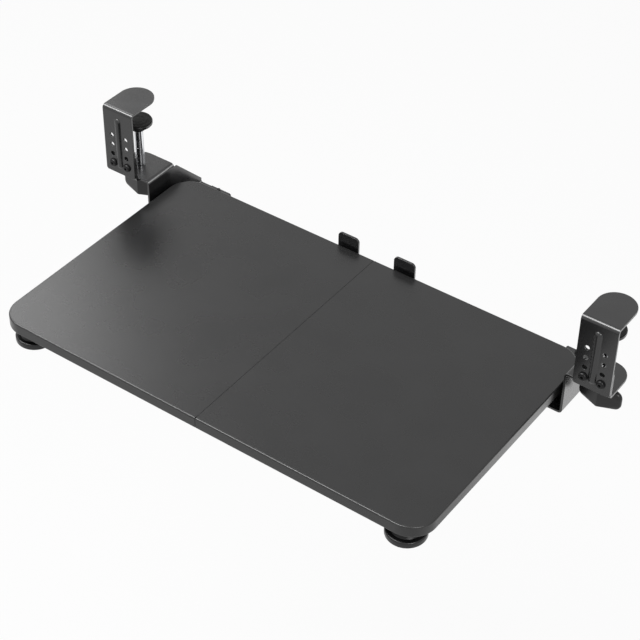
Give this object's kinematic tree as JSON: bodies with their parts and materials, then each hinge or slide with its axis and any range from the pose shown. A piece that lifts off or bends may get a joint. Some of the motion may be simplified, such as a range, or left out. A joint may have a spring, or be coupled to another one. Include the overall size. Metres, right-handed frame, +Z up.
{
  "type": "clamp-on under-desk keyboard tray",
  "caption": "Black laminate keyboard tray on sliding runners, hung under a desk by bolted hook clamps with chrome screws, wing knobs, rear stops and round front feet.",
  "frame": {"origin": "middle of the desk's upper front edge, where the desk's top meets its front face between the two hooks", "axes": "+X to the user's right, +Y away from the user (the way the tray is pushed in), +Z up"},
  "size_m": [0.626, 0.333, 0.1417],
  "materials": {
    "powder_coat": "satin black powder coat",
    "laminate": "satin black laminate on fibreboard",
    "edge_band": "black edge band",
    "moulded": "satin black moulded nylon",
    "nylon": "natural nylon",
    "soft_pad": "black rubber",
    "chrome_rod": "bright chrome",
    "zinc": "zinc plated",
    "black_screw": "black oxide",
    "beech": "bare beech"
  },
  "bodies": {
    "clamps": {"left_hook": "powder_coat", "right_hook": "powder_coat", "left_hook_pad": "soft_pad", "right_hook_pad": "soft_pad", "left_bracket": "powder_coat", "right_bracket": "powder_coat", "left_hook_bolts": "black_screw", "right_hook_bolts": "black_screw", "left_hook_nuts": "zinc", "right_hook_nuts": "zinc", "left_clamp_nut": "zinc", "right_clamp_nut": "zinc", "left_carriage": "powder_coat", "right_carriage": "powder_coat", "left_liners": "nylon", "right_liners": "nylon", "carriage_screws": "black_screw", "carriage_nuts": "zinc"},
    "tray": {"left_board": "laminate", "right_board": "laminate", "left_edge_band": "edge_band", "right_edge_band": "edge_band", "dowels": "beech", "front_joint_plate": "powder_coat", "rear_joint_plate": "powder_coat", "joint_screws": "black_screw", "left_runner": "powder_coat", "right_runner": "powder_coat", "left_runner_cap": "moulded", "right_runner_cap": "moulded", "runner_screws": "black_screw", "left_rear_stop": "powder_coat", "right_rear_stop": "powder_coat", "stop_screws": "black_screw", "left_foot": "moulded", "right_foot": "moulded", "left_foot_sole": "soft_pad", "right_foot_sole": "soft_pad", "foot_screws": "black_screw"},
    "left_pad": {"left_clamp_pad": "powder_coat", "left_pad_face": "soft_pad"},
    "right_pad": {"right_clamp_pad": "powder_coat", "right_pad_face": "soft_pad"},
    "left_screw": {"left_clamp_rod": "chrome_rod", "left_knob": "moulded"},
    "right_screw": {"right_clamp_rod": "chrome_rod", "right_knob": "moulded"}
  },
  "joints": [
    {"name": "tray_slide", "type": "slide", "parent": "clamps", "child": "tray", "axis": [0, 1, 0], "range_m": [0, 0.2]},
    {"name": "left_pad_lift", "type": "slide", "parent": "clamps", "child": "left_pad", "axis": [0, 0, 1], "range_m": [-0.025, 0.0065]},
    {"name": "left_screw_turn", "type": "hinge", "parent": "left_pad", "child": "left_screw", "pos_m": [-0.29, 0.028, -0.034], "axis": [0, 0, 1], "range_deg": [-4510, 1180]},
    {"name": "right_pad_lift", "type": "slide", "parent": "clamps", "child": "right_pad", "axis": [0, 0, 1], "range_m": [-0.025, 0.0065]},
    {"name": "right_screw_turn", "type": "hinge", "parent": "right_pad", "child": "right_screw", "pos_m": [0.29, 0.028, -0.034], "axis": [0, 0, 1], "range_deg": [-4510, 1180]}
  ],
  "couplings": [
    {"joint": "left_screw_turn", "follows": "left_pad_lift", "rad_per_m": 3141.6},
    {"joint": "right_screw_turn", "follows": "right_pad_lift", "rad_per_m": 3141.6}
  ]
}
